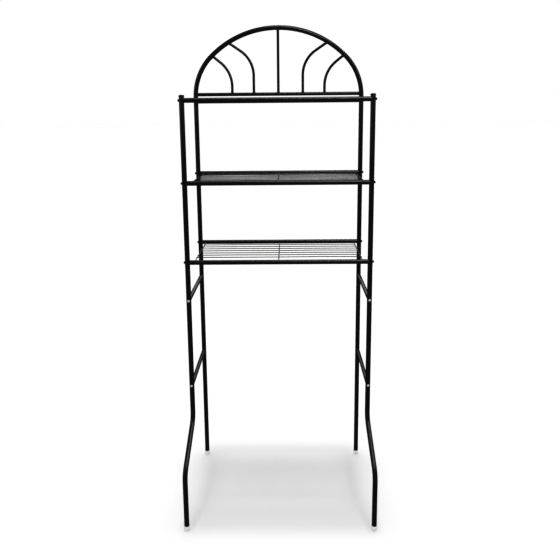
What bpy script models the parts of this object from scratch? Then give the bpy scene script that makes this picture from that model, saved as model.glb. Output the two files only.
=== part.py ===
# Over the toilet storage rack: four tube posts, three wire shelves, a sunburst arch on the rear
# posts, side braces, and front legs that step forward above their feet.
# Metres, +Z up. The front faces -Y, +X is to the right, and the feet stand on Z = 0.

import math

import bmesh
import bpy
from mathutils import Matrix, Vector
from mathutils.geometry import intersect_line_line_2d

# Overall layout, between tube axes
postSpacing = 0.590  # left post to right post
shelfDepth = 0.320  # front post to rear post
lowShelfHeight = 0.8615  # lowest shelf above the floor
shelfPitch = 0.257  # one shelf to the next
shelfNames = ("low", "middle", "top")

# Posts and legs
postRadius = 0.008
tubeWall = 0.0012
postAboveShelf = 0.0105  # top shelf's axis to the post's top end
jointBelowShelf = 0.022  # lowest shelf's axis to the joint under it
neckLength = 0.045  # reduced end that plugs into the next tube
shoulderLength = 0.0015  # taper from the full tube to its neck

# Front legs' step
footForward = 0.145  # front foot ahead of its post
footOutward = 0.010  # front foot outside its post
stepTop = 0.319  # upper corner of the step
stepBottom = 0.196  # lower corner of the step
stepBendRadius = 0.055

# Shelves
shelfTubeRadius = 0.0075
longWireRadius = 0.0014
crossWireRadius = 0.0017
longWireCount = 7
longWirePitch = 0.0325
crossWireInset = 0.022  # end cross wire to the post's axis
longWireOverhang = 0.002  # past the end cross wire's axis
crossWireDrop = 0.0005  # cross wires under the shelf tubes' axes
wireWeldDepth = 0.0006  # how far crossing wires sink into each other

# Arch
archRadius = 0.008
archSpring = 0.0045  # the post's top end to the start of the arch's side bend
archRise = 0.236  # from there up to the arch tube's axis at its crown
sideBendRadius = 0.196
crossbarRadius = 0.006
crossbarAbovePost = 0.013  # the post's top end to the crossbar's axis
spokeRadius = 0.0045
innerSpoke = {"offset": 0.087, "rise": 0.065, "bendRadius": 0.101, "bendAngle": math.radians(56)}
outerSpoke = {"offset": 0.164, "rise": 0.028, "bendRadius": 0.105, "bendAngle": math.radians(51)}

# Side braces
braceRadius = 0.00675
braceBelowJoint = 0.1055  # upper brace's axis
braceAboveStep = 0.1196  # lower brace's axis

# Fasteners
boltRadius = 0.003
boltHeadRadius = 0.0041
boltHeadRim = 0.0014
boltHeadHeight = 0.0042
screwRadius = 0.0025
screwHeadRadius = 0.0039
screwHeadRim = 0.0008
screwHeadHeight = 0.0026
plugLength = 0.011  # threaded plug inside each rail end
threadReach = 0.009  # how far a fastener enters its plug

# Caps
postCapOverhang = 0.0008  # outside the post, all round
postCapRim = 0.0035
postCapHeight = 0.0065
postCapStem = 0.006  # plug inside the post, above the top shelf's bolt
footCollarWall = 0.0015
footTaper = 0.001  # narrower at the floor, all round
footChamfer = 0.0012
footHeight = 0.0125  # floor to the leg's end
footCollar = 0.003  # sleeve that rises around the leg's end
footStem = 0.012  # plug inside the leg's end

# Clearances and facets
fitGap = 0.0003
tubeSides = 14
rodSides = 12
fastenerSides = 10
wireSides = 6
copeSides = 24
bendStepAngle = math.radians(9)

# Places worked out from the sizes above
halfSpacing = postSpacing / 2
frontY = (footForward - shelfDepth) / 2
rearY = frontY + shelfDepth
shelfHeights = {name: lowShelfHeight + i * shelfPitch for i, name in enumerate(shelfNames)}
jointHeight = lowShelfHeight - jointBelowShelf
postTop = shelfHeights["top"] + postAboveShelf
neckRadius = postRadius - tubeWall - fitGap
archStart = postTop + archSpring
crossbarHeight = postTop + crossbarAbovePost
braceHeights = {"upper": jointHeight - braceBelowJoint, "lower": stepTop + braceAboveStep}
postCapRadius = postRadius + postCapOverhang
footRadius = postRadius + fitGap + footCollarWall
footBottomRadius = footRadius - footTaper
sides = {"left": -1, "right": 1}
rows = {"front": frontY, "rear": rearY}


# ---- Mesh tools

def evaluated(obj):
    # The object's mesh with its modifiers applied; the object itself is removed.
    bpy.context.view_layer.update()
    graph = bpy.context.evaluated_depsgraph_get()
    mesh = bpy.data.meshes.new_from_object(obj.evaluated_get(graph))
    bpy.data.objects.remove(obj)
    return mesh


def linked(name, data):
    obj = bpy.data.objects.new(name, data)
    bpy.context.scene.collection.objects.link(obj)
    return obj


def combined(mesh, tools, operation):
    obj = linked("blank", mesh)
    helpers = [linked("tool", tool) for tool in tools]
    for helper in helpers:
        boolean = obj.modifiers.new("Boolean", "BOOLEAN")
        boolean.operation = operation
        boolean.solver = "EXACT"
        boolean.object = helper
    result = evaluated(obj)
    for helper in helpers:
        bpy.data.objects.remove(helper)
    return result


def swept(points, radius, sideCount, shares=None, capped=True):
    # A round bar along the points; shares scale the radius at each point.
    curve = bpy.data.curves.new("path", "CURVE")
    curve.dimensions = "3D"
    curve.bevel_depth = radius
    curve.bevel_resolution = (sideCount - 4) // 2
    curve.use_fill_caps = capped
    spline = curve.splines.new("POLY")
    spline.points.add(len(points) - 1)
    for i, point in enumerate(points):
        spline.points[i].co = (*point, 1)
        spline.points[i].radius = shares[i] if shares else 1
    return evaluated(linked("bar", curve))


def hollow(mesh):
    obj = linked("pipe", mesh)
    wall = obj.modifiers.new("Wall", "SOLIDIFY")
    wall.thickness = tubeWall
    wall.offset = -1
    wall.use_even_offset = True
    return evaluated(obj)


def cylinder(start, end, radius, sideCount):
    start = Vector(start)
    span = Vector(end) - start
    turn = span.to_track_quat("Z", "Y").to_matrix().to_4x4()
    bm = bmesh.new()
    bmesh.ops.create_cone(
        bm,
        cap_ends=True,
        segments=sideCount,
        radius1=radius,
        radius2=radius,
        depth=span.length,
        matrix=Matrix.Translation(start + span / 2) @ turn,
    )
    mesh = bpy.data.meshes.new("cylinder")
    bm.to_mesh(mesh)
    bm.free()
    return mesh


def turned(profile, sideCount):
    # A solid of revolution about Z from (radius, height) points that start and end on the axis.
    bm = bmesh.new()
    verts = [bm.verts.new((radius, 0, height)) for radius, height in profile]
    for first, second in zip(verts, verts[1:]):
        bm.edges.new((first, second))
    bmesh.ops.spin(
        bm,
        geom=bm.verts[:] + bm.edges[:],
        cent=(0, 0, 0),
        axis=(0, 0, 1),
        angle=math.tau,
        steps=sideCount,
        use_merge=True,
    )
    bmesh.ops.remove_doubles(bm, verts=bm.verts[:], dist=1e-6)
    bmesh.ops.recalc_face_normals(bm, faces=bm.faces[:])
    mesh = bpy.data.meshes.new("turned")
    bm.to_mesh(mesh)
    bm.free()
    return mesh


def joined(meshes):
    bm = bmesh.new()
    for mesh in meshes:
        bm.from_mesh(mesh)
    mesh = bpy.data.meshes.new("joined")
    bm.to_mesh(mesh)
    bm.free()
    return mesh


def arc(centre, start, end, radius):
    # Points in the XZ plane; angles run from +X towards +Z.
    steps = max(2, math.ceil(abs(end - start) / bendStepAngle))
    angles = [start + (end - start) * i / steps for i in range(steps + 1)]
    return [centre + radius * Vector((math.cos(a), 0, math.sin(a))) for a in angles]


def bent(corners, radius):
    # The corners' path, with each inner corner replaced by an arc of that radius.
    points = [corners[0]]
    for before, corner, after in zip(corners, corners[1:], corners[2:]):
        arriving = (corner - before).normalized()
        leaving = (after - corner).normalized()
        angle = arriving.angle(leaving)
        normal = (leaving - arriving * arriving.dot(leaving)).normalized()
        centre = corner - arriving * radius * math.tan(angle / 2) + normal * radius
        steps = math.ceil(angle / bendStepAngle)
        for i in range(steps + 1):
            turn = angle * i / steps
            points.append(centre + radius * (arriving * math.sin(turn) - normal * math.cos(turn)))
    return points + [corners[-1]]


def material(name, colour, roughness, metallic=0.0):
    made = bpy.data.materials.new(name)
    made.use_nodes = True
    made.diffuse_color = (*colour, 1)
    shader = made.node_tree.nodes["Principled BSDF"]
    shader.inputs["Base Color"].default_value = (*colour, 1)
    shader.inputs["Roughness"].default_value = roughness
    shader.inputs["Metallic"].default_value = metallic
    return made


def finished(mesh, surface):
    mesh.shade_smooth()
    mesh.set_sharp_from_angle(angle=math.radians(35))
    mesh.materials.clear()
    mesh.materials.append(surface)
    return mesh


def placed(name, mesh, parent, location=(0, 0, 0), rotation=(0, 0, 0)):
    obj = linked(name, mesh)
    obj.parent = parent
    obj.location = location
    obj.rotation_euler = rotation
    return obj


def group(name, location=(0, 0, 0)):
    obj = linked(name, None)
    obj.location = location
    return obj


# ---- Tubes with fastener holes

def drilled(mesh, axis, places, radius):
    # Holes straight through a post or leg: axis is the hole's direction, places are on its axis.
    reach = axis * 2 * postRadius
    tools = [cylinder(place - reach, place + reach, radius + fitGap, rodSides) for place in places]
    return combined(mesh, tools, "DIFFERENCE")


def upperPost():
    # Stands on its joint; the origin is at the joint.
    height = postTop - jointHeight
    pipe = hollow(swept([Vector((0, 0, 0)), Vector((0, 0, height))], postRadius, tubeSides, capped=False))
    holes = [Vector((0, 0, level - jointHeight)) for level in shelfHeights.values()]
    return drilled(pipe, Vector((1, 0, 0)), holes, boltRadius)


def leg(corners):
    # A lower leg from its foot up to the joint, then its neck, and the holes for its fasteners.
    shoulder = Vector((0, 0, jointHeight - fitGap))
    neckTop = shoulder + Vector((0, 0, neckLength))
    points = bent(corners, stepBendRadius) + [shoulder, neckTop]
    share = neckRadius / postRadius
    shares = [1] * (len(points) - 2) + [share, share]
    pipe = hollow(swept(points, postRadius, tubeSides, shares, capped=False))
    braceHoles = [Vector((0, 0, height)) for height in braceHeights.values()]
    pipe = drilled(pipe, Vector((0, 1, 0)), braceHoles, screwRadius)
    return drilled(pipe, Vector((1, 0, 0)), [Vector((0, 0, lowShelfHeight))], boltRadius)


def legTop():
    return Vector((0, 0, jointHeight - fitGap - shoulderLength))


def legEnd():
    return Vector((0, 0, footHeight + fitGap))


def rearLeg():
    return leg([legEnd(), legTop()])


def frontLeg(side):
    step = Vector((side * footOutward, -footForward, 0))
    lowCorner = step + Vector((0, 0, stepBottom))
    highCorner = Vector((0, 0, stepTop))
    return leg([legEnd() + step, lowCorner, highCorner, legTop()])


def rail(span, radius, boltBore):
    # A tube along X between two posts whose axes are span apart. Its ends are cut to sit against
    # the round posts, and hold plugs with a bore for the fastener.
    end = Vector((span / 2, 0, 0))
    plugFace = Vector((span / 2 - postRadius - plugLength, 0, 0))
    cavity = cylinder(-plugFace, plugFace, radius - tubeWall, tubeSides)
    bore = cylinder(-end, end, boltBore + fitGap, rodSides)
    up = Vector((0, 0, 2 * radius))
    copes = [cylinder(x * end - up, x * end + up, postRadius + fitGap, copeSides) for x in (-1, 1)]
    return combined(cylinder(-end, end, radius, tubeSides), [cavity, bore, *copes], "DIFFERENCE")


def wireGrid():
    # The origin is at the middle of the shelf, level with its tubes' axes.
    crossEnd = shelfDepth / 2 - shelfTubeRadius - fitGap
    sideWire = halfSpacing - crossWireInset
    low = -crossWireDrop
    cross = [
        cylinder((x, -crossEnd, low), (x, crossEnd, low), crossWireRadius, wireSides)
        for x in (-sideWire, 0, sideWire)
    ]
    reach = sideWire + longWireOverhang
    high = low + crossWireRadius + longWireRadius - wireWeldDepth
    firstWire = -longWirePitch * (longWireCount - 1) / 2
    levels = [firstWire + i * longWirePitch for i in range(longWireCount)]
    long = [cylinder((-reach, y, high), (reach, y, high), longWireRadius, wireSides) for y in levels]
    return combined(joined(long), [joined(cross)], "UNION")


# ---- Arch

# The crown's bend runs smoothly into both side bends, which sets its radius.
crownSquares = halfSpacing ** 2 - 2 * halfSpacing * sideBendRadius + archRise ** 2
crownBendRadius = crownSquares / (2 * (archRise - sideBendRadius))
crownCentre = Vector((0, 0, archStart + archRise - crownBendRadius))
crownHalfAngle = math.asin((halfSpacing - sideBendRadius) / (crownBendRadius - sideBendRadius))


def archPath():
    # Up the left side, over the crown and down the right side, at the rear posts' spacing.
    bendAngle = math.pi / 2 + crownHalfAngle
    outward = Vector((math.cos(bendAngle), 0, math.sin(bendAngle)))
    sideCentre = crownCentre + (crownBendRadius - sideBendRadius) * outward
    sideBend = arc(sideCentre, math.pi, bendAngle, sideBendRadius)
    crownBend = arc(crownCentre, bendAngle, math.pi / 2, crownBendRadius)
    left = sideBend + crownBend[1:]
    right = [Vector((-point.x, 0, point.z)) for point in reversed(left[:-1])]
    return left + right


def archTube():
    path = archPath()
    shoulder = postTop + fitGap
    stub = [Vector((-halfSpacing, 0, shoulder + drop)) for drop in (-neckLength, 0, shoulderLength)]
    mirrored = [Vector((-point.x, 0, point.z)) for point in reversed(stub)]
    points = stub + path + mirrored
    share = neckRadius / archRadius
    shares = [share, share] + [1] * (len(points) - 4) + [share, share]
    pipe = hollow(swept(points, archRadius, tubeSides, shares, capped=False))
    boltPlaces = [Vector((x * halfSpacing, 0, shelfHeights["top"])) for x in (-1, 1)]
    return drilled(pipe, Vector((1, 0, 0)), boltPlaces, boltRadius)


def archTool():
    # The arch tube's outside with its clearance, from the posts' tops.
    ends = [Vector((side * halfSpacing, 0, postTop)) for side in (-1, 1)]
    return swept([ends[0], *archPath(), ends[1]], archRadius + fitGap, copeSides)


def archCrossbar():
    # Its ends are cut to sit against the arch tube.
    along = Vector((halfSpacing, 0, 0))
    level = Vector((0, 0, crossbarHeight))
    cavity = cylinder(level - along, level + along, crossbarRadius - tubeWall, tubeSides)
    bar = cylinder(level - along, level + along, crossbarRadius, tubeSides)
    return combined(bar, [cavity, archTool()], "DIFFERENCE")


def untilArch(points):
    # The path up to where it first meets the arch tube's axis.
    posts = [Vector((side * halfSpacing, 0, postTop)) for side in (-1, 1)]
    bends = [posts[0], *archPath(), posts[1]]
    for i, (start, end) in enumerate(zip(points, points[1:])):
        for low, high in zip(bends, bends[1:]):
            meeting = intersect_line_line_2d(start.xz, end.xz, low.xz, high.xz)
            if meeting:
                return points[:i + 1] + [Vector((meeting.x, 0, meeting.y))]
    return points


def spokePath(offset, rise, bendRadius, bendAngle):
    # Straight up from the crossbar's axis, bent outward, then straight on to the arch.
    foot = Vector((offset, 0, crossbarHeight))
    bendCentre = foot + Vector((bendRadius, 0, rise))
    bend = arc(bendCentre, math.pi, math.pi - bendAngle, bendRadius)
    onward = Vector((math.sin(bendAngle), 0, math.cos(bendAngle))) * postSpacing
    return untilArch([foot, *bend, bend[-1] + onward])


def spoke(side, path):
    # The path is mirrored for the left side. Its ends are cut to sit against crossbar and arch.
    points = [Vector((side * point.x, 0, point.z)) for point in path]
    bar = swept(points, spokeRadius, rodSides)
    along = Vector((halfSpacing, 0, 0))
    level = Vector((0, 0, crossbarHeight))
    footTool = cylinder(level - along, level + along, crossbarRadius + fitGap, copeSides)
    return combined(bar, [footTool, archTool()], "DIFFERENCE")


# ---- Fasteners and caps

def domed(radius, rim, height, steps):
    # A dome's profile from its rim to its crown, without the underside.
    angles = [math.pi / 2 * i / steps for i in range(steps + 1)]
    rise = height - rim
    return [(radius * math.cos(a) if a < math.pi / 2 else 0, rim + rise * math.sin(a)) for a in angles]


def fastener(radius, reach, headRadius, headRim, headHeight):
    # Head towards +Z; the origin is under the head, and the shank runs down.
    shank = [(0, -reach), (radius, -reach), (radius, 0), (headRadius, 0)]
    return turned(shank + domed(headRadius, headRim, headHeight, 2), fastenerSides)


def postCap():
    # The origin is at the post's top end.
    stem = [(0, -postCapStem), (neckRadius, -postCapStem), (neckRadius, fitGap), (postCapRadius, fitGap)]
    return turned(stem + domed(postCapRadius, postCapRim, postCapHeight, 3), tubeSides)


def footCap():
    # The origin is on the floor, under the leg's axis.
    collarTop = footHeight + footCollar
    socket = postRadius + fitGap
    stemTop = footHeight + footStem
    profile = [
        (0, 0),
        (footBottomRadius - footChamfer, 0),
        (footBottomRadius, footChamfer),
        (footRadius, footHeight),
        (footRadius, collarTop),
        (socket, collarTop),
        (socket, footHeight),
        (neckRadius, footHeight),
        (neckRadius, stemTop),
        (0, stemTop),
    ]
    return turned(profile, tubeSides)


# ---- Assembly

def clearScene():
    for obj in list(bpy.data.objects):
        bpy.data.objects.remove(obj)


def buildPosts(paint, plastic, clear):
    post = finished(upperPost(), paint)
    rear = finished(rearLeg(), paint)
    cap = finished(postCap(), plastic)
    foot = finished(footCap(), clear)
    frame = group("posts")
    for rowName, y in rows.items():
        for sideName, side in sides.items():
            place = f"{rowName}_{sideName}"
            x = side * halfSpacing
            placed(f"upper_post_{place}", post, frame, (x, y, jointHeight))
            if rowName == "rear":
                placed(f"lower_leg_{place}", rear, frame, (x, y, 0))
                placed(f"foot_cap_{place}", foot, frame, (x, y, 0))
                continue
            placed(f"lower_leg_{place}", finished(frontLeg(side), paint), frame, (x, y, 0))
            placed(f"foot_cap_{place}", foot, frame, (x + side * footOutward, y - footForward, 0))
            placed(f"post_cap_{sideName}", cap, frame, (x, y, postTop))


def buildShelves(paint, wirePaint, black):
    tube = finished(rail(postSpacing, shelfTubeRadius, boltRadius), paint)
    grid = finished(wireGrid(), wirePaint)
    reach = 2 * postRadius + fitGap + threadReach
    bolt = finished(fastener(boltRadius, reach, boltHeadRadius, boltHeadRim, boltHeadHeight), black)
    headX = halfSpacing + postRadius + fitGap
    for name, level in shelfHeights.items():
        shelf = group(f"shelf_{name}", (0, 0, level))
        placed(f"shelf_{name}_wires", grid, shelf, (0, (frontY + rearY) / 2, 0))
        for rowName, y in rows.items():
            placed(f"shelf_{name}_{rowName}_tube", tube, shelf, (0, y, 0))
            for sideName, side in sides.items():
                turn = (0, side * math.pi / 2, 0)
                placed(f"shelf_bolt_{name}_{rowName}_{sideName}", bolt, shelf, (side * headX, y, 0), turn)


def buildArch(paint):
    arch = group("arch", (0, rearY, 0))
    placed("arch_tube", finished(archTube(), paint), arch)
    placed("arch_crossbar", finished(archCrossbar(), paint), arch)
    middle = [Vector((0, 0, crossbarHeight)), Vector((0, 0, archStart + archRise))]
    placed("spoke_center", finished(spoke(1, middle), paint), arch)
    for name, sizes in (("inner", innerSpoke), ("outer", outerSpoke)):
        for sideName, side in sides.items():
            bar = spoke(side, spokePath(**sizes))
            placed(f"spoke_{name}_{sideName}", finished(bar, paint), arch)


def buildBraces(paint, zinc):
    tube = finished(rail(shelfDepth, braceRadius, screwRadius), paint)
    reach = 2 * postRadius + fitGap + threadReach
    screw = finished(fastener(screwRadius, reach, screwHeadRadius, screwHeadRim, screwHeadHeight), zinc)
    headOffset = postRadius + fitGap
    braces = group("braces")
    for name, height in braceHeights.items():
        for sideName, side in sides.items():
            x = side * halfSpacing
            middle = (x, (frontY + rearY) / 2, height)
            placed(f"brace_{name}_{sideName}", tube, braces, middle, (0, 0, math.pi / 2))
            for rowName, outward in (("front", -1), ("rear", 1)):
                place = (x, rows[rowName] + outward * headOffset, height)
                turn = (-outward * math.pi / 2, 0, 0)
                placed(f"brace_screw_{name}_{rowName}_{sideName}", screw, braces, place, turn)


def build():
    clearScene()
    paint = material("black_paint", (0.013, 0.013, 0.014), 0.32)
    wirePaint = material("black_wire_paint", (0.018, 0.018, 0.019), 0.28)
    plastic = material("black_plastic", (0.015, 0.015, 0.015), 0.45)
    black = material("black_bolt", (0.02, 0.02, 0.021), 0.35, 0.4)
    zinc = material("zinc", (0.72, 0.72, 0.70), 0.30, 1.0)
    clear = material("pale_plastic", (0.78, 0.78, 0.76), 0.35)
    buildPosts(paint, plastic, clear)
    buildShelves(paint, wirePaint, black)
    buildArch(paint)
    buildBraces(paint, zinc)


build()
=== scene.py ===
import math

import bmesh
import bpy
from mathutils import Matrix, Vector


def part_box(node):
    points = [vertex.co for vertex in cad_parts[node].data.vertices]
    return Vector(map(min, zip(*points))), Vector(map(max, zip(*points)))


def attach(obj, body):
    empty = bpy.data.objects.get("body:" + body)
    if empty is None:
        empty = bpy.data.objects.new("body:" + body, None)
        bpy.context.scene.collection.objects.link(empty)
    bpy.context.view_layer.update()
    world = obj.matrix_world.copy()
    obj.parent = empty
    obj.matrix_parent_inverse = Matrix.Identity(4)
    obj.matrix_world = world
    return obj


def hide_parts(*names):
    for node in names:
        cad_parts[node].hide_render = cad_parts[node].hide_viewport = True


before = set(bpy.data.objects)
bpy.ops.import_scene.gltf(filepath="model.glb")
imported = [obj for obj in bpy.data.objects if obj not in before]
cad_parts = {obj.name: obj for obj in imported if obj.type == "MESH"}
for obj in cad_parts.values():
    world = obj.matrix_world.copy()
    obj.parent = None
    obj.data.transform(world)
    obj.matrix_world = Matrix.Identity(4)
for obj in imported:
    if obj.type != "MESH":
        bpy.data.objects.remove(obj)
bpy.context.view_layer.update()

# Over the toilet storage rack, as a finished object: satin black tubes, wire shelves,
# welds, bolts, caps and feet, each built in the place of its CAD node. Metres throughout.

up = Vector((0, 0, 1))
across = Vector((1, 0, 0))
deep = Vector((0, 1, 0))
sides = {"left": -1, "right": 1}
rows = {"front": -1, "rear": 1}
shelfNames = ("low", "middle", "top")
roundSides = 48
bendStep = math.radians(3)
leastBendSteps = 3
sharpAngle = math.radians(32)
mergeDistance = 1e-7


# How a piece is made and handed to the frame

def middleOf(node):
    low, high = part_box(node)
    return (low + high) / 2


def onlyVerts(geometry):
    return [item for item in geometry if isinstance(item, bmesh.types.BMVert)]


class Bender:
    # Draws a round bar the way a tube is worked: a starting ring, then runs, tapers and bends.
    def __init__(self, bm, place, heading, radius, sideCount=roundSides):
        self.bm = bm
        self.place = Vector(place)
        self.heading = Vector(heading).normalized()
        self.radius = radius
        turn = self.heading.to_track_quat("Z", "X").to_matrix().to_4x4()
        where = Matrix.Translation(self.place) @ turn
        made = bmesh.ops.create_circle(bm, segments=sideCount, radius=radius, matrix=where)
        self.verts = made["verts"]

    def edges(self):
        ring = set(self.verts)
        touching = {edge for vert in ring for edge in vert.link_edges}
        return [edge for edge in touching if ring.issuperset(edge.verts)]

    def run(self, length, radius=None):
        # Straight on by that length, ending at another radius if one is given.
        grown = bmesh.ops.extrude_edge_only(self.bm, edges=self.edges())
        self.verts = onlyVerts(grown["geom"])
        self.place = self.place + self.heading * length
        bmesh.ops.translate(self.bm, verts=self.verts, vec=self.heading * length)
        if radius is not None:
            size = Vector((radius / self.radius,) * 3)
            home = Matrix.Translation(-self.place)
            bmesh.ops.scale(self.bm, verts=self.verts, vec=size, space=home)
            self.radius = radius
        return self

    def bend(self, axis, angle, bendRadius):
        axis = Vector(axis).normalized()
        centre = self.place + axis.cross(self.heading) * bendRadius
        geometry = self.verts + self.edges()
        steps = max(leastBendSteps, math.ceil(angle / bendStep))
        spun = bmesh.ops.spin(self.bm, geom=geometry, cent=centre, axis=axis, angle=angle, steps=steps)
        self.verts = onlyVerts(spun["geom_last"])
        turn = Matrix.Rotation(angle, 3, axis)
        self.place = centre + turn @ (self.place - centre)
        self.heading = turn @ self.heading
        return self

    def reshape(self, outline):
        # Moves the ring's points in or out: outline gives the radius at each angle round the axis.
        first = (self.verts[0].co - self.place).normalized()
        second = self.heading.cross(first)
        for vert in self.verts:
            offset = vert.co - self.place
            angle = math.atan2(offset.dot(second), offset.dot(first))
            vert.co = self.place + offset.normalized() * outline(angle)
        return self

    def close(self):
        bmesh.ops.edgeloop_fill(self.bm, edges=self.edges())
        return self


def beginBar(bm, place, heading, radius, sideCount=roundSides):
    # A bar that starts with a closed flat end.
    bar = Bender(bm, place, heading, radius, sideCount)
    return bar.close()


def quarterSteps(count):
    # A quarter turn in equal steps: the angle before and after each one.
    angles = [math.pi / 2 * i / count for i in range(count + 1)]
    return zip(angles, angles[1:])


def roundedDisc(bar, radius, edge, steps=4):
    # From the bar's present ring out to a rim with a rounded edge.
    bar.run(0, radius - edge)
    for before, turn in quarterSteps(steps):
        rise = edge * (math.cos(before) - math.cos(turn))
        bar.run(rise, radius - edge + edge * math.sin(turn))
    return bar


def roundedOver(bar, radius, edge, steps=4):
    # The opposite: a rounded edge that turns inwards and stops on the flat.
    for before, turn in quarterSteps(steps):
        rise = edge * (math.sin(turn) - math.sin(before))
        bar.run(rise, radius - edge + edge * math.cos(turn))
    return bar


weld = {
    "sides": 10,  # round the bead's own section
    "steps": 36,  # round the bar
    "ripples": 9,
    "rippleDepth": 0.12,  # share of the bead's size
    "nuggetSides": 14,
    "nuggetRings": 9,
}


def bead(bm, place, axis, radius, size, ripples=weld["ripples"]):
    # A weld bead round a bar, slightly rippled as a hand weld is.
    axis = Vector(axis).normalized()
    outward = axis.orthogonal().normalized()
    turn = axis.cross(outward).to_track_quat("Z", "X").to_matrix().to_4x4()
    where = Matrix.Translation(place + outward * radius) @ turn
    ring = bmesh.ops.create_circle(bm, segments=weld["sides"], radius=size, matrix=where)["verts"]
    edges = {edge for vert in ring for edge in vert.link_edges}
    before = set(bm.verts)
    bmesh.ops.spin(
        bm, geom=ring + list(edges), cent=place, axis=axis,
        angle=math.tau, steps=weld["steps"], use_merge=True,
    )
    made = [vert for vert in bm.verts if vert not in before] + ring
    second = axis.cross(outward)
    for vert in made:
        offset = vert.co - place
        along = axis * offset.dot(axis)
        angle = math.atan2(offset.dot(second), offset.dot(outward))
        swell = 1 + weld["rippleDepth"] * math.sin(ripples * angle) * size / radius
        vert.co = place + along + (offset - along) * swell


def nugget(bm, place, size):
    # The flattened blob that a spot weld leaves where two wires cross.
    where = Matrix.Translation(place) @ Matrix.Diagonal((*size, 1))
    bmesh.ops.create_uvsphere(
        bm, u_segments=weld["nuggetSides"], v_segments=weld["nuggetRings"], radius=1, matrix=where,
    )


def handOver(name, bm, finish, node):
    # Turns the finished mesh into a piece that rides on the frame in its node's place.
    bmesh.ops.remove_doubles(bm, verts=bm.verts[:], dist=mergeDistance)
    bmesh.ops.recalc_face_normals(bm, faces=bm.faces[:])
    mesh = bpy.data.meshes.new(name)
    bm.to_mesh(mesh)
    bm.free()
    mesh.shade_smooth()
    mesh.set_sharp_from_angle(angle=sharpAngle)
    mesh.materials.append(finish)
    piece = bpy.data.objects.new(name, mesh)
    bpy.context.scene.collection.objects.link(piece)
    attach(piece, "root")
    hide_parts(node)


# Finishes

class Signal:
    # A shader socket that does sums: each one adds a Math node.
    def __init__(self, socket):
        self.socket = socket

    def sum(self, operation, first, second):
        tree = self.socket.id_data
        return addNode(tree, "ShaderNodeMath", {"operation": operation}, {0: first, 1: second})

    def __add__(self, other):
        return self.sum("ADD", self, other)

    def __sub__(self, other):
        return self.sum("SUBTRACT", self, other)

    def __rsub__(self, other):
        return self.sum("SUBTRACT", other, self)

    def __mul__(self, other):
        return self.sum("MULTIPLY", self, other)

    def size(self):
        return self.sum("ABSOLUTE", self, 0)

    __radd__ = __add__
    __rmul__ = __mul__


def addNode(tree, kind, settings, values, output=0):
    # Settings come first, then the sockets' values or links; the result is one output.
    node = tree.nodes.new(kind)
    for name, value in settings.items():
        if name != "stops":
            setattr(node, name, value)
            continue
        for stop, (position, level) in zip(node.color_ramp.elements, value):
            stop.position = position
            stop.color = (level, level, level, 1)
    for name, value in values.items():
        if isinstance(value, Signal):
            tree.links.new(value.socket, node.inputs[name])
        else:
            node.inputs[name].default_value = value
    return Signal(node.outputs[output])


def noise(tree, place, scale, detail):
    values = {"Vector": place, "Scale": scale, "Detail": detail}
    return addNode(tree, "ShaderNodeTexNoise", {}, values)


def between(tree, share, first, second):
    # One colour to another. In a colour Mix, inputs 0, 6 and 7 are the factor and both colours.
    values = {0: share, 6: (*first, 1), 7: (*second, 1)}
    return addNode(tree, "ShaderNodeMix", {"data_type": "RGBA"}, values, 2)


def startMaterial(name, look):
    made = bpy.data.materials.new(name)
    made.use_nodes = True
    shader = made.node_tree.nodes["Principled BSDF"]
    shader.inputs["Base Color"].default_value = (*look["dark"], 1)
    shader.inputs["Roughness"].default_value = look["roughness"]
    shader.inputs["Metallic"].default_value = look.get("metallic", 0)
    shader.inputs["Specular IOR Level"].default_value = look.get("specular", 0.5)
    return made, made.node_tree, shader


speckStops = ((0.66, 0), (0.74, 1))  # where in its noise a speck begins and is full
noiseMiddle = 0.5
noiseDetail = {"cloud": 3.0, "peel": 2.0, "speck": 1.0}


def paintFinish(name, look):
    # Baked paint: broad cloudiness, fine orange peel, and a scatter of tiny matt specks.
    made, tree, shader = startMaterial(name, look)
    place = addNode(tree, "ShaderNodeTexCoord", {}, {}, "Object")
    cloud = noise(tree, place, look["cloudScale"], noiseDetail["cloud"])
    peel = noise(tree, place, look["peelScale"], noiseDetail["peel"])
    specks = noise(tree, place, look["speckScale"], noiseDetail["speck"])
    specks = addNode(tree, "ShaderNodeValToRGB", {"stops": speckStops}, {"Fac": specks})
    colour = between(tree, cloud, look["dark"], look["light"])
    rough = look["roughness"] + (cloud - noiseMiddle) * look["cloudRoughness"]
    rough = rough + specks * look["speckRoughness"]
    height = peel + specks * look["speckHeight"]
    bump = {"Strength": look["peelStrength"], "Distance": look["peelDepth"], "Height": height}
    normal = addNode(tree, "ShaderNodeBump", {}, bump)
    tree.links.new(colour.socket, shader.inputs["Base Color"])
    tree.links.new(rough.socket, shader.inputs["Roughness"])
    tree.links.new(normal.socket, shader.inputs["Normal"])
    return made


tubeLook = {
    "dark": (0.007, 0.007, 0.0076),
    "light": (0.014, 0.014, 0.015),
    "roughness": 0.29,
    "specular": 0.4,
    "cloudScale": 22.0,
    "cloudRoughness": 0.10,
    "peelScale": 620.0,
    "peelStrength": 0.35,
    "peelDepth": 0.0002,
    "speckScale": 900.0,
    "speckRoughness": 0.12,
    "speckHeight": 0.3,
}
tubePaint = paintFinish("tubePaint", tubeLook)
# The wires are the same black as the tubes, but their base colour is twice as light: a painted sheen
# standing in for the highlights on the wires.
wirePaintAndSheen = paintFinish("wirePaintAndSheen", {
    **tubeLook,
    "dark": (0.014, 0.014, 0.015),
    "light": (0.028, 0.028, 0.030),
    "roughness": 0.28,
    "specular": 0.7,
})
boltBlack = paintFinish("boltBlack", {
    **tubeLook,
    "dark": (0.008, 0.008, 0.009),
    "light": (0.022, 0.022, 0.024),
    "roughness": 0.36,
    "metallic": 0.35,
    "peelScale": 1400.0,
})
capPlastic = paintFinish("capPlastic", {
    **tubeLook,
    "dark": (0.010, 0.010, 0.010),
    "light": (0.014, 0.014, 0.014),
    "roughness": 0.46,
    "peelScale": 1900.0,
    "peelStrength": 0.25,
})
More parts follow.
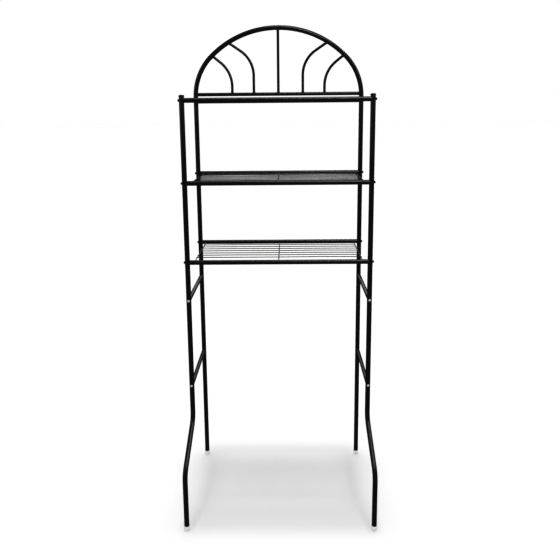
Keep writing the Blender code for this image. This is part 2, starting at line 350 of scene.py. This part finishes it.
zincLook = {
    "dark": (0.78, 0.79, 0.78),
    "light": (0.96, 0.96, 0.95),
    "roughness": 0.36,
    "metallic": 0.3,
    "cloudScale": 420.0,
    "cloudRoughness": 0.16,
    "peelScale": 2600.0,
    "peelStrength": 0.3,
    "peelDepth": 0.00008,
    "speckScale": 1500.0,
    "speckRoughness": 0.2,
    "speckHeight": -0.4,
}
screwZinc = paintFinish("screwZinc", zincLook)
footLook = {
    "dark": (0.88, 0.88, 0.87),
    "light": (0.97, 0.97, 0.96),
    "roughness": 0.34,
    "cloudScale": 160.0,
    "cloudRoughness": 0.12,
    "peelScale": 900.0,
    "peelStrength": 0.2,
    "peelDepth": 0.0001,
    "speckScale": 1100.0,
    "speckRoughness": 0.1,
    "speckHeight": -0.3,
    "milkiness": 0.3,
    "milkDepth": (0.004, 0.004, 0.004),
}
footPlastic = paintFinish("footPlastic", footLook)
milky = footPlastic.node_tree.nodes["Principled BSDF"]
milky.inputs["Subsurface Weight"].default_value = footLook["milkiness"]
milky.inputs["Subsurface Radius"].default_value = footLook["milkDepth"]
print("finishes made")


# Posts and legs

post = {
    "radius": 0.008,
    "wall": 0.0012,
    "edge": 0.0004,  # rounding left on a cut tube end
    "neckLength": 0.022,  # swaged end that goes up into the next tube
    "shoulder": 0.0022,  # length of the taper between a tube and its neck
    "shoulderStart": 0.35,  # share of it that is only a slight dip
    "shoulderDip": 0.0002,
    "gap": 0.0003,
    "stepTop": 0.319,
    "stepBottom": 0.196,
    "stepBend": 0.055,
}
neckRadius = post["radius"] - post["wall"] - post["gap"]


def neckIn(bar):
    # From the full tube down to its neck.
    full = bar.radius
    bar.run(post["shoulder"] * post["shoulderStart"], full - post["shoulderDip"])
    bar.run(post["shoulder"] * (1 - post["shoulderStart"]), neckRadius)


def neckOut(bar, radius):
    # From a neck up to the full tube.
    bar.run(post["shoulder"] * (1 - post["shoulderStart"]), radius - post["shoulderDip"])
    bar.run(post["shoulder"] * post["shoulderStart"], radius)


def postAxis(row, side):
    return middleOf(f"upper_post_{row}_{side}")


def upperPost(row, side):
    node = f"upper_post_{row}_{side}"
    low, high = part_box(node)
    axis = middleOf(node)
    bm = bmesh.new()
    bar = beginBar(bm, (axis.x, axis.y, low.z), up, neckRadius)
    roundedDisc(bar, post["radius"], post["edge"])
    bar.run(high.z - low.z - 2 * post["edge"])
    roundedOver(bar, post["radius"], post["edge"]).run(0, neckRadius).close()
    name = f"upperPost{row.title()}{side.title()}"
    handOver(name, bm, tubePaint, node)


def lowerLeg(row, side):
    node = f"lower_leg_{row}_{side}"
    bm = bmesh.new()
    foot = middleOf(f"foot_cap_{row}_{side}")
    axis = postAxis(row, side)
    start = Vector((foot.x, foot.y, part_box(node)[0].z))
    bar = beginBar(bm, start, up, neckRadius)
    roundedDisc(bar, post["radius"], post["edge"])
    if row == "front":
        lowCorner = Vector((foot.x, foot.y, post["stepBottom"]))
        highCorner = Vector((axis.x, axis.y, post["stepTop"]))
        slope = highCorner - lowCorner
        angle = up.angle(slope)
        trim = post["stepBend"] * math.tan(angle / 2)
        hinge = up.cross(slope)
        bar.run(lowCorner.z - trim - bar.place.z)
        bar.bend(hinge, angle, post["stepBend"])
        bar.run(slope.length - 2 * trim)
        bar.bend(-hinge, angle, post["stepBend"])
    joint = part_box(f"upper_post_{row}_{side}")[0].z
    bar.run(joint - post["gap"] - post["shoulder"] - bar.place.z)
    neckIn(bar)
    bar.run(post["neckLength"]).close()
    handOver(f"lowerLeg{row.title()}{side.title()}", bm, tubePaint, node)


for row in rows:
    for side in sides:
        upperPost(row, side)
        lowerLeg(row, side)
print("posts and legs made")


# Shelves and braces

rail = {
    "shelfRadius": 0.0075,
    "braceRadius": 0.00675,
    "rings": 5,  # rings near each end that follow the post's curve
    "ringPitch": 0.0012,
    "slack": 1e-5,
}


def copedRail(name, node, heading, radius, start, end):
    # A tube between two posts. Each end is cut to the round of its post.
    bm = bmesh.new()
    sideways = up.cross(heading)
    span = (end - start).length
    socket = post["radius"] + post["gap"]
    endZone = rail["rings"] * rail["ringPitch"]
    bar = beginBar(bm, start, heading, radius)
    for i in range(rail["rings"]):
        bar.run(rail["ringPitch"])
    bar.run(span - 2 * endZone)
    for i in range(rail["rings"]):
        bar.run(rail["ringPitch"])
    bar.close()
    middle = (start + end) / 2
    for vert in bm.verts:
        offset = vert.co - middle
        along = offset.dot(heading)
        aside = offset.dot(sideways)
        limit = span / 2 - math.sqrt(socket ** 2 - aside ** 2)
        depth = span / 2 - abs(along)
        if depth < endZone + rail["slack"]:
            stretch = depth / endZone
            target = (limit - endZone) * stretch + limit * (1 - stretch)
            vert.co += heading * (math.copysign(target, along) - along)
    handOver(name, bm, tubePaint, node)


def shelfTubes(shelf):
    for row in rows:
        node = f"shelf_{shelf}_{row}_tube"
        middle = middleOf(node)
        ends = [Vector((postAxis(row, side).x, middle.y, middle.z)) for side in sides]
        name = f"shelf{shelf.title()}{row.title()}Tube"
        copedRail(name, node, across, rail["shelfRadius"], ends[0], ends[1])


def brace(level, side):
    node = f"brace_{level}_{side}"
    middle = middleOf(node)
    ends = [Vector((middle.x, postAxis(row, side).y, middle.z)) for row in rows]
    name = f"brace{level.title()}{side.title()}"
    copedRail(name, node, deep, rail["braceRadius"], ends[0], ends[1])


wires = {
    "longRadius": 0.0014,
    "crossRadius": 0.0017,
    "count": 7,
    "sideCount": 16,
    "steps": 24,
    "stray": 0.0011,
    "overhang": 0.002,  # long wires past the end cross wires
    "sink": 0.0006,  # how deep crossing wires are welded into each other
    "nugget": (0.0026, 0.0024, 0.0012),
    "endReach": 0.0008,  # cross wires into the welds at the shelf tubes
    "endBead": 0.0011,
    "endRipples": 5,
    "pitch": 0.0325,
    "edge": 0.45,  # rounding of a wire's end, in radii
    "endFlat": 0.3,
    "edgeSteps": 3,
}
strays = {
    "perShelf": 1.7,  # how the seed grows from shelf to shelf and from wire to wire
    "perWire": 2.3,
    "halfTurn": 0.9,  # what sets one half of a wire apart from the other
    "lift": 0.6,  # upward stray, as a share of the sideways one
    "liftRate": 2.9,
}


def wire(bm, start, end, radius, bow=None):
    # A straight wire with rounded ends. bow gives how far each point strays between its welds.
    heading = (end - start).normalized()
    edge = radius * wires["edge"]
    before = set(bm.verts)
    bar = beginBar(bm, start, heading, radius * wires["endFlat"], wires["sideCount"])
    roundedDisc(bar, radius, edge, wires["edgeSteps"])
    length = (end - start).length
    for i in range(wires["steps"]):
        bar.run((length - 2 * edge) / wires["steps"])
    roundedOver(bar, radius, edge, wires["edgeSteps"])
    bar.close()
    if bow:
        for vert in bm.verts:
            if vert not in before:
                vert.co += bow((vert.co - start).dot(heading) / length)


def strayOf(shelf, i):
    # Wires are never quite straight: each half between two welds bows its own small way.
    seed = strays["perShelf"] * shelfNames.index(shelf) + strays["perWire"] * i

    def bow(share):
        half = strays["halfTurn"] if share > 0.5 else 0
        swell = math.sin(math.tau * share) ** 2 * wires["stray"]
        lift = strays["lift"] * math.sin(strays["liftRate"] * seed + half)
        return Vector((0, math.sin(seed + half), lift)) * swell

    return bow


def wireGrid(shelf):
    node = f"shelf_{shelf}_wires"
    low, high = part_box(node)
    middle = middleOf(node)
    crossLevel = low.z + wires["crossRadius"]
    longLevel = crossLevel + wires["crossRadius"] + wires["longRadius"] - wires["sink"]
    weldLevel = crossLevel + wires["crossRadius"] - wires["sink"] / 2
    bm = bmesh.new()
    crossPlaces = [low.x + wires["overhang"], middle.x, high.x - wires["overhang"]]
    reach = post["gap"] + wires["endReach"]
    for x in crossPlaces:
        # The ends reach the shelf tubes, where a bead of weld holds them.
        start = Vector((x, low.y - reach, crossLevel))
        end = Vector((x, high.y + reach, crossLevel))
        wire(bm, start, end, wires["crossRadius"])
        for y in (low.y, high.y):
            place = Vector((x, y, crossLevel))
            bead(bm, place, deep, wires["crossRadius"], wires["endBead"], wires["endRipples"])
    for i in range(wires["count"]):
        y = middle.y + (i - (wires["count"] - 1) / 2) * wires["pitch"]
        ends = [Vector((x, y, longLevel)) for x in (low.x, high.x)]
        wire(bm, ends[0], ends[1], wires["longRadius"], strayOf(shelf, i))
        for x in crossPlaces:
            nugget(bm, Vector((x, y, weldLevel)), wires["nugget"])
    handOver(f"shelf{shelf.title()}Wires", bm, wirePaintAndSheen, node)


for shelf in shelfNames:
    shelfTubes(shelf)
    wireGrid(shelf)
for level in ("upper", "lower"):
    for side in sides:
        brace(level, side)
print("shelves and braces made")


# Arch

arch = {
    "radius": 0.008,
    "crownBend": 0.3385125,
    "sideBend": 0.196,
    "barRadius": 0.006,
    "barSides": 36,
    "spokeRadius": 0.0045,
    "spokeSides": 32,
    "sunk": 0.0012,  # how far a welded end goes into its tube
    "bead": 0.0012,
}
archLow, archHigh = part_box("arch_tube")
archY = (archLow.y + archHigh.y) / 2
halfSpan = (archHigh.x - archLow.x) / 2 - arch["radius"]
crownHeight = archHigh.z - arch["radius"] - arch["crownBend"]
crownAngle = math.asin((halfSpan - arch["sideBend"]) / (arch["crownBend"] - arch["sideBend"]))
barHeight = middleOf("arch_crossbar").z


def archTube():
    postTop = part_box("upper_post_rear_left")[1].z
    bendHeight = crownHeight + (arch["crownBend"] - arch["sideBend"]) * math.cos(crownAngle)
    bm = bmesh.new()
    start = Vector((-halfSpan, archY, postTop - post["neckLength"]))
    bar = beginBar(bm, start, up, neckRadius)
    bar.run(post["neckLength"] + post["gap"])
    neckOut(bar, arch["radius"])
    straight = bendHeight - bar.place.z
    bar.run(straight)
    bar.bend(deep, math.pi / 2 - crownAngle, arch["sideBend"])
    bar.bend(deep, 2 * crownAngle, arch["crownBend"])
    bar.bend(deep, math.pi / 2 - crownAngle, arch["sideBend"])
    bar.run(straight)
    neckIn(bar)
    bar.run(post["neckLength"] + post["gap"]).close()
    handOver("archTube", bm, tubePaint, "arch_tube")


def archCrossbar():
    bm = bmesh.new()
    reach = halfSpan - arch["radius"] + arch["sunk"]
    bar = beginBar(bm, (-reach, archY, barHeight), across, arch["barRadius"], arch["barSides"])
    bar.run(2 * reach).close()
    for side in sides.values():
        place = Vector((side * (reach - arch["sunk"]), archY, barHeight))
        bead(bm, place, across, arch["barRadius"], arch["bead"])
    handOver("archCrossbar", bm, tubePaint, "arch_crossbar")


def spoke(name, node, offset, rise=0, bendRadius=0, bendAngle=0):
    # Up from the crossbar, bent outwards, then straight on until it meets the arch.
    bm = bmesh.new()
    foot = Vector((offset, archY, barHeight + arch["barRadius"]))
    bar = beginBar(bm, foot - up * arch["sunk"], up, arch["spokeRadius"], arch["spokeSides"])
    bead(bm, foot, up, arch["spokeRadius"], arch["bead"])
    if bendAngle:
        bar.run(barHeight + rise - bar.place.z)
        bar.bend(deep * math.copysign(1, offset), bendAngle, bendRadius)
    reach = arch["crownBend"] - arch["radius"] + arch["sunk"]
    fromCrown = bar.place - Vector((0, archY, crownHeight))
    along = fromCrown.dot(bar.heading)
    bar.run(math.sqrt(along ** 2 + reach ** 2 - fromCrown.length_squared) - along).close()
    bead(bm, bar.place - bar.heading * arch["sunk"], bar.heading, arch["spokeRadius"], arch["bead"])
    handOver(name, bm, tubePaint, node)


spokes = {
    "inner": {"offset": 0.087, "rise": 0.065, "bendRadius": 0.101, "bendAngle": math.radians(56)},
    "outer": {"offset": 0.164, "rise": 0.028, "bendRadius": 0.105, "bendAngle": math.radians(51)},
}
archTube()
archCrossbar()
spoke("spokeCenter", "spoke_center", 0)
for ring, sizes in spokes.items():
    for side, sign in sides.items():
        lay = {**sizes, "offset": sign * sizes["offset"]}
        spoke(f"spoke{ring.title()}{side.title()}", f"spoke_{ring}_{side}", **lay)
print("arch made")


# Bolts, screws and caps

bolt = {
    "shank": 0.003,
    "head": 0.0041,
    "rim": 0.0014,
    "height": 0.0042,
    "recess": 0.00145,  # hexagon, across its corners
    "recessDepth": 0.0018,
}
screw = {
    "shank": 0.0025,
    "head": 0.0039,
    "rim": 0.0008,
    "height": 0.0026,
    "recess": 0.0021,  # length of each arm of the cross
    "armWidth": 0.00055,
    "leastTurn": 1e-3,
    "recessDepth": 0.0014,
}
headShape = {
    "edge": 0.0003,
    "steps": 8,
    "mouth": 1.08,  # where the dome stops, in sizes of the recess
    "lip": 0.00005,
    "straight": 0.6,  # share of the recess's depth before it narrows
    "narrow": 0.6,
}


def hexagon(angle):
    sector = math.radians(60)
    return bolt["recess"] * math.cos(sector / 2) / math.cos(angle % sector - sector / 2)


def cross(angle):
    quarter = math.pi / 2
    turn = abs((angle + quarter / 2) % quarter - quarter / 2)
    aside = max(math.sin(turn), screw["leastTurn"])
    return min(screw["recess"] / math.cos(turn), screw["armWidth"] / aside)


def dome(bar, radius, height, lastTurn, steps):
    # Rises from the rim along a quarter ellipse, as far round as lastTurn.
    level = 0.0
    for i in range(1, steps + 1):
        turn = lastTurn * i / steps
        bar.run(height * math.sin(turn) - level, radius * math.cos(turn))
        level = height * math.sin(turn)


def fastener(name, node, outward, sizes, outline, finish):
    # Head outwards, shank through the post into the plug of the rail behind it.
    low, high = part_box(node)
    middle = middleOf(node)
    length = (high - low).dot(Vector(map(abs, outward)))
    bm = bmesh.new()
    bar = beginBar(bm, middle - outward * length / 2, outward, sizes["shank"])
    bar.run(length - sizes["height"])
    roundedDisc(bar, sizes["head"], headShape["edge"])
    bar.run(sizes["rim"] - headShape["edge"])
    opening = math.acos(sizes["recess"] * headShape["mouth"] / sizes["head"])
    dome(bar, sizes["head"], sizes["height"] - sizes["rim"], opening, headShape["steps"])
    bar.run(headShape["lip"], sizes["recess"])
    bar.reshape(outline)
    straight = sizes["recessDepth"] * headShape["straight"]
    bar.run(-straight)
    bar.run(straight - sizes["recessDepth"], bar.radius * headShape["narrow"]).close()
    handOver(name, bm, finish, node)


cap = {
    "radius": 0.0088,
    "rim": 0.0035,
    "height": 0.0065,
    "edge": 0.0006,
    "steps": 13,
    "lastTurn": math.pi / 2 * 13 / 14,  # leaves a small flat at the crown
}


def postCap(side):
    node = f"post_cap_{side}"
    low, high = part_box(node)
    middle = middleOf(node)
    bm = bmesh.new()
    bar = beginBar(bm, (middle.x, middle.y, low.z), up, neckRadius)
    bar.run(high.z - cap["height"] - low.z + post["gap"])
    roundedDisc(bar, cap["radius"], cap["edge"])
    bar.run(cap["rim"] - cap["edge"] - post["gap"])
    dome(bar, cap["radius"], cap["height"] - cap["rim"], cap["lastTurn"], cap["steps"])
    bar.close()
    handOver(f"postCap{side.title()}", bm, capPlastic, node)


footCup = {
    "radius": 0.00955,
    "bottomRadius": 0.00855,
    "edge": 0.0012,
    "edgeSteps": 6,
    "height": 0.0125,  # floor to the leg's end
    "collar": 0.003,  # rises round the leg's end
    "lip": 0.0004,
}


def footCap(row, side):
    node = f"foot_cap_{row}_{side}"
    low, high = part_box(node)
    middle = middleOf(node)
    bm = bmesh.new()
    bar = beginBar(bm, (middle.x, middle.y, low.z), up, footCup["bottomRadius"] - footCup["edge"])
    roundedDisc(bar, footCup["bottomRadius"], footCup["edge"], footCup["edgeSteps"])
    bar.run(footCup["height"] - footCup["edge"], footCup["radius"])
    bar.run(footCup["collar"] - footCup["lip"])
    roundedOver(bar, footCup["radius"], footCup["lip"])
    socket = post["radius"] + post["gap"]
    bar.run(0, socket)
    bar.run(-footCup["collar"])
    bar.run(0, neckRadius)
    bar.run(high.z - low.z - footCup["height"])
    bar.close()
    handOver(f"footCap{row.title()}{side.title()}", bm, footPlastic, node)


for row, depth in rows.items():
    for side, sign in sides.items():
        place = f"{row}_{side}"
        title = row.title() + side.title()
        for shelf in shelfNames:
            name = f"shelfBolt{shelf.title()}{title}"
            node = f"shelf_bolt_{shelf}_{place}"
            fastener(name, node, across * sign, bolt, hexagon, boltBlack)
        for level in ("upper", "lower"):
            name = f"braceScrew{level.title()}{title}"
            node = f"brace_screw_{level}_{place}"
            fastener(name, node, deep * depth, screw, cross, screwZinc)
        footCap(row, side)
for side in sides:
    postCap(side)
print("fasteners and caps made")


# Floor, light and camera

floorLook = {
    "size": 60.0,
    "pale": (0.90, 0.90, 0.90),
    "paintedShadow": (0.80, 0.80, 0.80),  # a soft shadow painted into the floor's colour under the rack
    "roughness": 0.8,
    "specular": 0.1,
    "softness": 0.045,
    "ahead": 0.012,  # the painted shadow's reach past the front and rear feet
    "behind": 0.055,
}


def fadeOut(tree, distance, limit):
    # The painted shadow's mask: one inside the limit, nothing outside it, with a soft edge across it.
    ends = {
        "Value": distance,
        "From Min": limit - floorLook["softness"],
        "From Max": limit + floorLook["softness"],
        "To Min": 1,
        "To Max": 0,
    }
    return addNode(tree, "ShaderNodeMapRange", {"interpolation_type": "SMOOTHSTEP"}, ends)


def makeFloor():
    bm = bmesh.new()
    bmesh.ops.create_grid(bm, x_segments=1, y_segments=1, size=floorLook["size"])
    mesh = bpy.data.meshes.new("floor")
    bm.to_mesh(mesh)
    bm.free()
    floor = bpy.data.objects.new("floor", mesh)
    bpy.context.scene.collection.objects.link(floor)
    paper = bpy.data.materials.new("floorPaper")
    paper.use_nodes = True
    tree = paper.node_tree
    shader = tree.nodes["Principled BSDF"]
    shader.inputs["Roughness"].default_value = floorLook["roughness"]
    shader.inputs["Specular IOR Level"].default_value = floorLook["specular"]
    front = middleOf("foot_cap_front_right")
    rear = middleOf("foot_cap_rear_right")
    place = addNode(tree, "ShaderNodeTexCoord", {}, {}, "Object")
    x = addNode(tree, "ShaderNodeSeparateXYZ", {}, {0: place}, "X")
    y = addNode(tree, "ShaderNodeSeparateXYZ", {}, {0: place}, "Y")
    nearEdge = front.y - floorLook["ahead"]
    farEdge = rear.y + floorLook["behind"]
    fromMiddle = y - (nearEdge + farEdge) / 2
    # Painted shadow: the floor's colour darkens in a soft-edged patch between the feet, standing in for
    # the rack's shadow.
    paintedShadow = fadeOut(tree, x.size(), rear.x) * fadeOut(tree, fromMiddle.size(), (farEdge - nearEdge) / 2)
    colour = between(tree, paintedShadow, floorLook["pale"], floorLook["paintedShadow"])
    tree.links.new(colour.socket, shader.inputs["Base Color"])
    mesh.materials.append(paper)
    floor.visible_glossy = False


overhead = {"from": (0.0, 0.05, 1.0), "softness": math.radians(14), "strength": 1.4}
softboxes = {
    "frontTop": {"place": (0.5, -1.3, 2.9), "target": (0, 0.1, 1.4), "size": (0.8, 0.6), "power": 26},
    "right": {"place": (2.4, -0.9, 2.6), "target": (0, 0, 1.1), "size": (0.5, 0.9), "power": 22},
    "left": {"place": (-2.6, -1.4, 2.0), "target": (0, 0, 1.0), "size": (0.3, 1.6), "power": 14},
    "rear": {"place": (0.0, 3.2, 1.9), "target": (0, 0, 0.7), "size": (1.5, 1.2), "power": 13},
    "rightRear": {
        "place": (1.55, 2.0, 3.05), "target": (0.19, 0.22, 1.56), "size": (0.35, 0.5), "power": 12,
    },
}


def softbox(name, place, target, size, power):
    data = bpy.data.lights.new(name, "AREA")
    data.shape = "RECTANGLE"
    data.size, data.size_y = size
    data.energy = power
    light = bpy.data.objects.new(name, data)
    light.location = place
    light.rotation_euler = (Vector(target) - Vector(place)).to_track_quat("-Z", "Y").to_euler()
    light.visible_diffuse = False  # for highlights only, so that the floor stays even
    bpy.context.scene.collection.objects.link(light)


def makeSun():
    data = bpy.data.lights.new("overhead", "SUN")
    data.angle = overhead["softness"]
    data.energy = overhead["strength"]
    light = bpy.data.objects.new("overhead", data)
    light.rotation_euler = Vector(overhead["from"]).to_track_quat("Z", "Y").to_euler()
    bpy.context.scene.collection.objects.link(light)


# How bright the world is as a backdrop, as light, and in reflections.
room = {"seen": 1.0, "fill": 0.72, "mirrored": 0.10}


def makeWorld():
    world = bpy.data.worlds.new("studio")
    world.use_nodes = True
    tree = world.node_tree
    tree.nodes.clear()
    rays = tree.nodes.new("ShaderNodeLightPath")
    isSeen = Signal(rays.outputs["Is Camera Ray"])
    isGlossy = Signal(rays.outputs["Is Glossy Ray"])
    level = room["fill"] + isSeen * (room["seen"] - room["fill"])
    level = level + isGlossy * (room["mirrored"] - room["fill"])
    sky = addNode(tree, "ShaderNodeBackground", {}, {"Color": (1, 1, 1, 1), "Strength": level})
    output = tree.nodes.new("ShaderNodeOutputWorld")
    tree.links.new(sky.socket, output.inputs["Surface"])
    bpy.context.scene.world = world


view = {
    "place": (0.0285, -2.0799, 1.3500),
    "yaw": -0.667,
    "pitch": 10.884,
    "roll": -0.492,
    "lens": 40.785,
    "sensor": 36,
    "shiftY": -0.0893,
    "gamma": 0.7,  # deep blacks, as in a catalogue
}


def makeCamera():
    data = bpy.data.cameras.new("camera")
    data.lens = view["lens"]
    data.sensor_width = view["sensor"]
    data.shift_y = view["shiftY"]
    camera = bpy.data.objects.new("camera", data)
    bpy.context.scene.collection.objects.link(camera)
    yaw = Matrix.Rotation(math.radians(-view["yaw"]), 4, "Z")
    pitch = Matrix.Rotation(math.radians(90 - view["pitch"]), 4, "X")
    roll = Matrix.Rotation(math.radians(view["roll"]), 4, "Z")
    camera.matrix_world = Matrix.Translation(view["place"]) @ yaw @ pitch @ roll
    bpy.context.scene.camera = camera


makeFloor()
makeSun()
for name, lay in softboxes.items():
    softbox(name, **lay)
makeWorld()
makeCamera()
bpy.context.scene.view_settings.view_transform = "Standard"
bpy.context.scene.view_settings.gamma = view["gamma"]
print("stage made")
